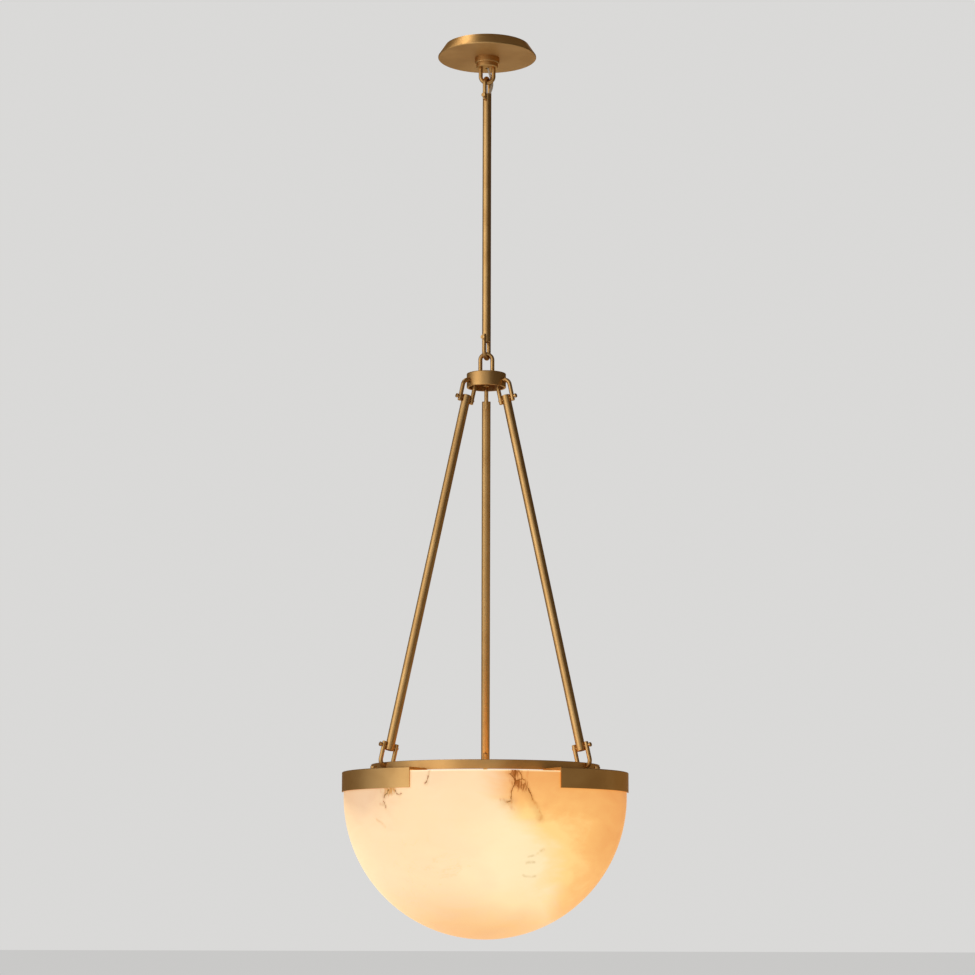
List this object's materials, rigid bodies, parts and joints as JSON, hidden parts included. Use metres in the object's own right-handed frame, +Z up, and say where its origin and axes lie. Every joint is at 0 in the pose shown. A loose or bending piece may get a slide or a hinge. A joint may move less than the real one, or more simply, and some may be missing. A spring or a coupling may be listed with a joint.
{
  "type": "alabaster bowl pendant",
  "caption": "Ceiling pendant: alabaster bowl held by clips in a brass ring, hung by leaning rods, a hub and a linked down rod from a round canopy.",
  "frame": {"origin": "centre of the canopy in the ceiling plane, midway between the two box screws", "axes": "+Z up to the ceiling, front towards -Y, +X to the right seen from the front"},
  "size_m": [0.406, 0.4035, 1.302],
  "materials": {
    "brass": "brushed and lightly aged, lacquered",
    "dark_brass": "darkened",
    "zinc_steel": "zinc plated",
    "earth_green": "green zinc",
    "clear_lead": "clear jacket over tinned cores",
    "silicone": "matte",
    "alabaster": "honed, translucent, lit from inside",
    "porcelain": "glazed",
    "opal_glass": "opal"
  },
  "bodies": {
    "canopy": {"crossbar": "zinc_steel", "ground_screw": "earth_green", "threaded_nipple": "zinc_steel", "nipple_locknut": "zinc_steel", "canopy_shell": "brass", "collar_ring": "brass", "loop_base": "brass", "canopy_loop": "brass", "supply_lead": "clear_lead"},
    "upper_link": {"upper_shackle": "brass", "upper_pin": "brass"},
    "down_rod": {"down_tube": "brass", "rod_lead": "clear_lead"},
    "lower_link": {"lower_shackle": "brass", "lower_pin": "brass"},
    "hub": {"hub_cup": "brass", "hub_loop": "brass", "hub_loop_nuts": "zinc_steel", "hub_bushing": "brass"},
    "rod_left": {"left_top_shackle": "brass", "left_top_pin": "brass", "left_tube": "brass", "left_bottom_shackle": "brass", "left_bottom_pin": "brass"},
    "rod_right": {"right_top_shackle": "brass", "right_top_pin": "brass", "right_tube": "brass", "right_bottom_shackle": "brass", "right_bottom_pin": "brass"},
    "rod_back": {"back_top_shackle": "brass", "back_top_pin": "brass", "back_tube": "brass", "back_bottom_shackle": "brass", "back_bottom_pin": "brass"},
    "bowl": {"gallery_ring": "brass", "clip_left": "brass", "clip_right": "brass", "clip_back": "brass", "rim_pads": "silicone", "alabaster_bowl": "alabaster", "clamp_block_left": "brass", "clamp_block_right": "brass", "clamp_block_back": "brass", "toe_pads": "silicone", "clamp_bolts": "dark_brass", "lamp_bridge": "zinc_steel", "bridge_screws": "zinc_steel", "cluster_stem": "zinc_steel", "bridge_nuts": "zinc_steel", "cluster_body": "brass", "cluster_cover": "brass", "cover_nut": "brass", "lampholder_1": "porcelain", "lampholder_2": "porcelain", "lampholder_3": "porcelain", "lamp_1": "opal_glass", "lamp_2": "opal_glass", "lamp_3": "opal_glass"}
  },
  "joints": [
    {"name": "canopy_swing", "type": "hinge", "parent": "canopy", "child": "upper_link", "pos_m": [0, 0, -0.055], "axis": [1, 0, 0], "range_deg": [-45, 45], "deforming": ["supply_lead"]},
    {"name": "rod_swing", "type": "hinge", "parent": "upper_link", "child": "down_rod", "pos_m": [0, 0, -0.0777], "axis": [-0.342, -0.9397, 0], "range_deg": [-45, 45], "deforming": ["supply_lead"]},
    {"name": "lower_link_swing", "type": "hinge", "parent": "down_rod", "child": "lower_link", "pos_m": [0, 0, -0.4407], "axis": [-0.342, -0.9397, 0], "range_deg": [-30, 30]},
    {"name": "hub_swing", "type": "hinge", "parent": "lower_link", "child": "hub", "pos_m": [0, 0, -0.4634], "axis": [1, 0, 0], "range_deg": [-30, 30]},
    {"name": "bowl_twist", "type": "hinge", "parent": "hub", "child": "bowl", "pos_m": [0, 0, -0.504], "axis": [0, 0, 1], "range_deg": [-10, 10]},
    {"name": "left_rod_swing", "type": "hinge", "parent": "hub", "child": "rod_left", "pos_m": [-0.02338, -0.0135, -0.504], "axis": [-0.866, -0.5, 0], "range_deg": [-3, 3]},
    {"name": "right_rod_swing", "type": "hinge", "parent": "hub", "child": "rod_right", "pos_m": [0.02338, -0.0135, -0.504], "axis": [0.866, -0.5, 0], "range_deg": [-3, 3]},
    {"name": "back_rod_swing", "type": "hinge", "parent": "hub", "child": "rod_back", "pos_m": [0, 0.027, -0.504], "axis": [0, 1, 0], "range_deg": [-3, 3]}
  ],
  "couplings": [
    {"joint": "left_rod_swing", "follows": "bowl_twist", "ratio": 0.28536},
    {"joint": "right_rod_swing", "follows": "bowl_twist", "ratio": 0.28536},
    {"joint": "back_rod_swing", "follows": "bowl_twist", "ratio": 0.28536}
  ]
}
